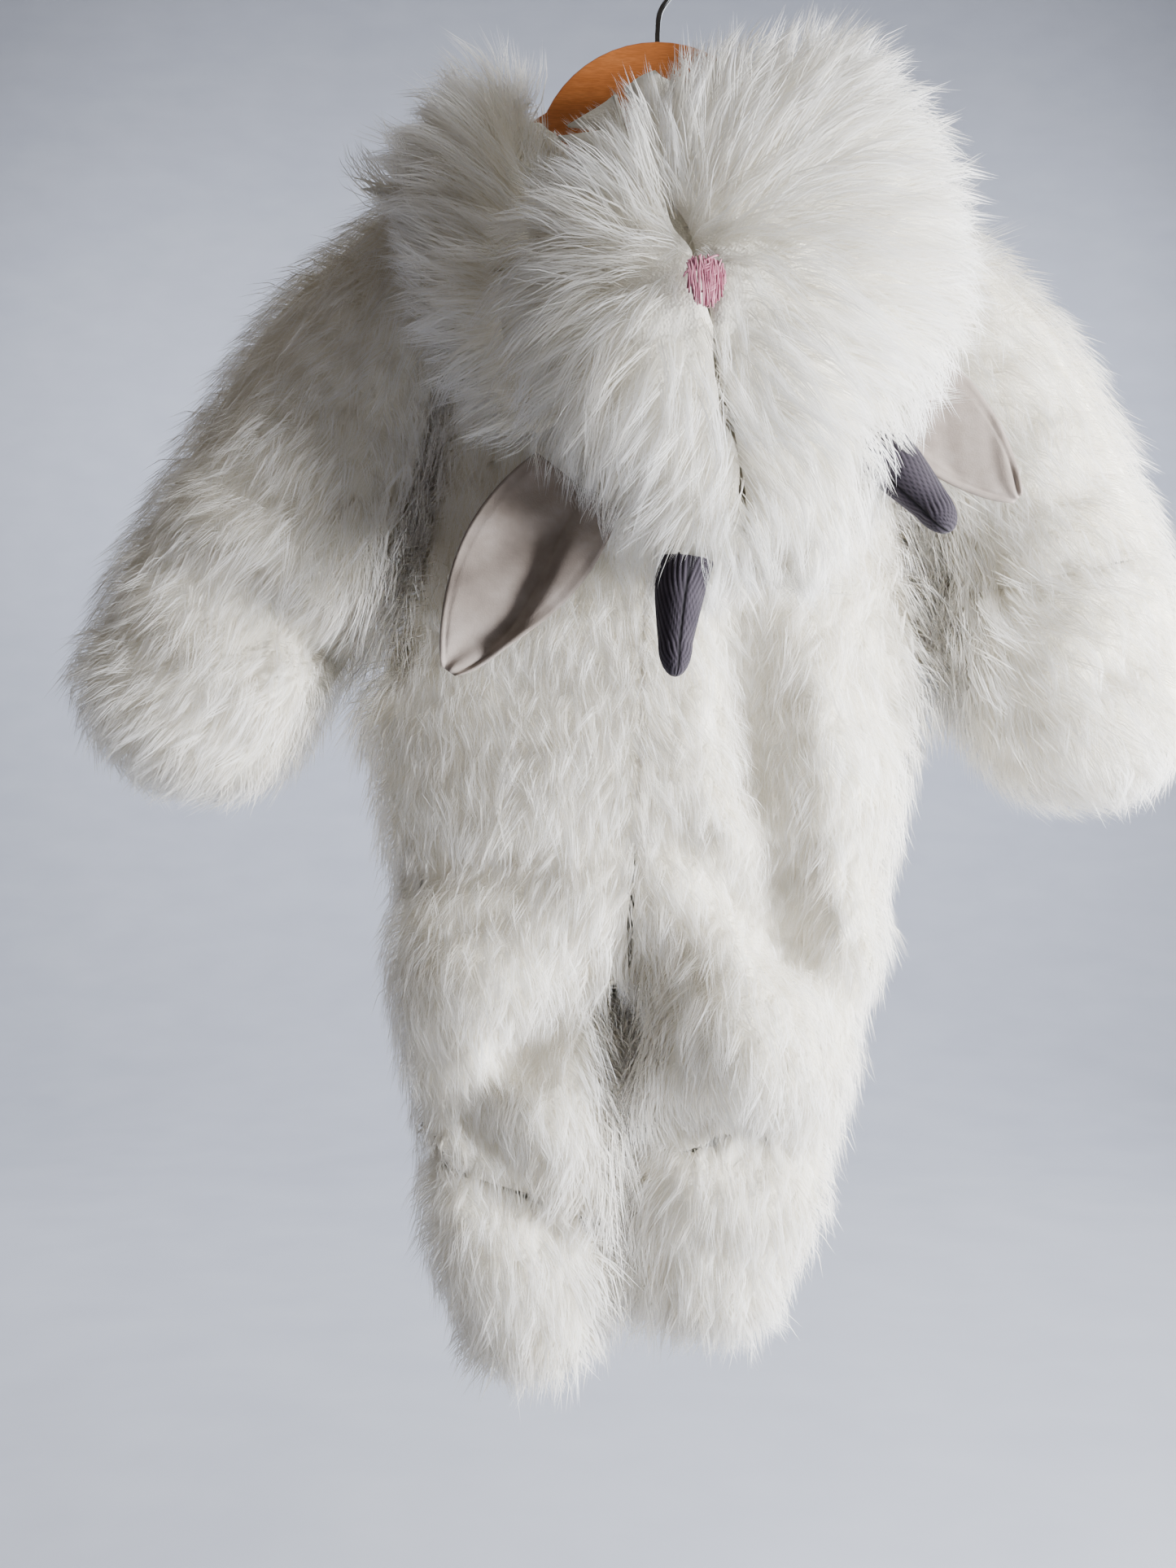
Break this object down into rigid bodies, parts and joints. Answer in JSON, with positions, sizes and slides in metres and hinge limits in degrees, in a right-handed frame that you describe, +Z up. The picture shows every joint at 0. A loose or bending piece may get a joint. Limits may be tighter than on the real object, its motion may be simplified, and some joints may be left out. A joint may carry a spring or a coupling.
{
  "type": "goat costume on a wooden hanger",
  "caption": "Toddler's hooded one-piece goat costume in long white fur cloth, with horns, ears, mittens and feet, hanging back to the viewer on a wooden hanger.",
  "frame": {"origin": "inside top of the bend of the hanger's hook, where it hangs on its rail", "axes": "+Z up, +X to the right of the side shown in the picture, -Y toward that side's viewer, which is the costume's back, and +Y toward the costume's front"},
  "size_m": [0.5934, 0.2357, 0.785],
  "materials": {
    "fur": "white fur cloth, pile about 25 mm, lying downward",
    "hood_fur": "white fur cloth, long pile about 40 mm, combed away from the nose",
    "nose_thread": "pink satin-stitch embroidery",
    "corduroy": "dark grey corduroy, ribs along the horn",
    "suede": "taupe suede cloth with a short nap",
    "varnished_wood": "orange-brown stain under clear varnish",
    "chrome_wire": "bright plated wire"
  },
  "bodies": {
    "root": {"back_left": "fur", "back_right": "fur", "front_left": "fur", "front_right": "fur", "foot_left": "fur", "foot_right": "fur", "sole_left": "fur", "sole_right": "fur", "sleeve_left": "fur", "sleeve_right": "fur", "mitt_left": "fur", "mitt_right": "fur", "hood_left": "hood_fur", "hood_right": "hood_fur", "nose": "nose_thread", "horn_left": "corduroy", "horn_right": "corduroy", "ear_left": "suede", "ear_right": "suede", "hanger": "varnished_wood", "hook": "chrome_wire"}
  },
  "joints": []
}
